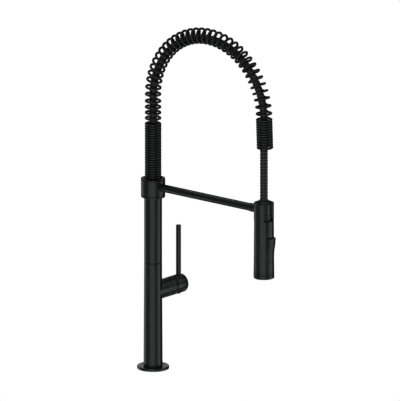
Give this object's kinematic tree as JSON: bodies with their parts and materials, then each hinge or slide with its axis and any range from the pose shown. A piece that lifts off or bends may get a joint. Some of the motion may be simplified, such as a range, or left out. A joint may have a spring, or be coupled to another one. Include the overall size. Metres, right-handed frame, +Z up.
{
  "type": "pre-rinse faucet",
  "caption": "Deck-mounted spring pre-rinse faucet with swivelling column, side mixer lever, arched hose, arm with clip and pull-down spray head.",
  "frame": {"origin": "on the counter, on the column's axis", "axes": "+Z up along the column, +X along the arm to the spray head, +Y along the mixer valve to its lever"},
  "size_m": [0.2912, 0.1015, 0.614],
  "materials": {
    "black_paint": "matte black powder coat on brass and zinc",
    "black_steel": "satin black coated steel",
    "brass": "machined",
    "cast_brass": "cast brass body, matte black outside",
    "steel": "plain stainless",
    "black_plastic": "moulded acetal or nylon",
    "white_plastic": "moulded acetal",
    "rubber": "EPDM or silicone",
    "hose": "ribbed black hose jacket",
    "ceramic": "lapped ceramic"
  },
  "bodies": {
    "base": {"base_flange": "black_paint", "deck_gasket": "rubber", "lower_body": "cast_brass", "swivel_washer": "black_plastic", "swivel_seals": "rubber", "cartridge_body": "white_plastic", "port_seals": "rubber", "fixed_disc": "ceramic", "cartridge_nut": "brass"},
    "mixer": {"moving_disc": "ceramic", "cartridge_spindle": "brass", "handle_sleeve": "black_paint", "sleeve_screw": "steel"},
    "lever": {"handle_hub": "black_paint", "tilt_pin": "steel", "lever_rod": "black_paint", "lever_screw": "steel", "hub_plug": "black_plastic"},
    "pushrod": {"flow_pushrod": "steel"},
    "spout": {"upper_column": "black_paint", "swivel_bush": "black_plastic", "swivel_screw": "steel", "hose_connector": "brass", "connector_seal": "rubber", "collar": "black_paint", "collar_top_ring": "black_paint", "collar_lock_ring": "black_paint", "collar_screw": "steel", "arm_bolt": "steel", "arm_rod": "black_paint", "arm_ferrule": "black_paint", "holder_pin": "steel", "spray_holder": "black_paint", "holder_liner": "black_plastic", "arch_spring": "black_steel", "arch_hose": "hose", "hose_ferrule": "brass"},
    "hose_end": {"hose_drop": "hose", "hose_end_fitting": "brass"},
    "spray_head": {"hose_nut": "black_paint", "hose_washer": "rubber", "spray_neck": "black_plastic", "check_valve": "white_plastic", "spray_body": "black_paint", "spray_core": "white_plastic", "rocker_pin": "steel", "bezel_ring": "black_paint", "spray_face": "black_plastic", "nozzle_mat": "rubber", "aerator": "black_plastic", "face_seal": "rubber"},
    "rocker": {"rocker": "black_plastic"},
    "selector": {"selector_spool": "white_plastic", "spool_seals": "rubber"}
  },
  "joints": [
    {"name": "spout_swivel", "type": "hinge", "parent": "base", "child": "spout", "pos_m": [0, 0, 0.185], "axis": [0, 0, 1], "range_deg": [-180, 180]},
    {"name": "temperature_turn", "type": "hinge", "parent": "base", "child": "mixer", "pos_m": [0, 0.04, 0.1338], "axis": [0, 1, 0], "range_deg": [-45, 45]},
    {"name": "flow_tilt", "type": "hinge", "parent": "mixer", "child": "lever", "pos_m": [0, 0.064, 0.1338], "axis": [-1, 0, 0], "range_deg": [0, 18]},
    {"name": "pushrod_travel", "type": "slide", "parent": "mixer", "child": "pushrod", "axis": [0, -1, 0], "range_m": [0, 0.00095]},
    {"name": "spray_pull", "type": "slide", "parent": "spout", "child": "hose_end", "axis": [0, 0, -1], "range_m": [0, 0.045], "stiffness_N_per_m": 150, "springref_m": -0.05},
    {"name": "spray_turn", "type": "hinge", "parent": "hose_end", "child": "spray_head", "pos_m": [0.2435, 0, 0.326], "axis": [0, 0, 1], "range_deg": [-180, 180]},
    {"name": "rocker_press", "type": "hinge", "parent": "spray_head", "child": "rocker", "pos_m": [0.254, 0, 0.251], "axis": [0, -1, 0], "range_deg": [0, 5]},
    {"name": "selector_travel", "type": "slide", "parent": "spray_head", "child": "selector", "axis": [-1, 0, 0], "range_m": [0, 0.00123]}
  ],
  "couplings": [
    {"joint": "pushrod_travel", "follows": "flow_tilt", "m_per_rad": 0.003},
    {"joint": "selector_travel", "follows": "rocker_press", "m_per_rad": 0.014}
  ]
}
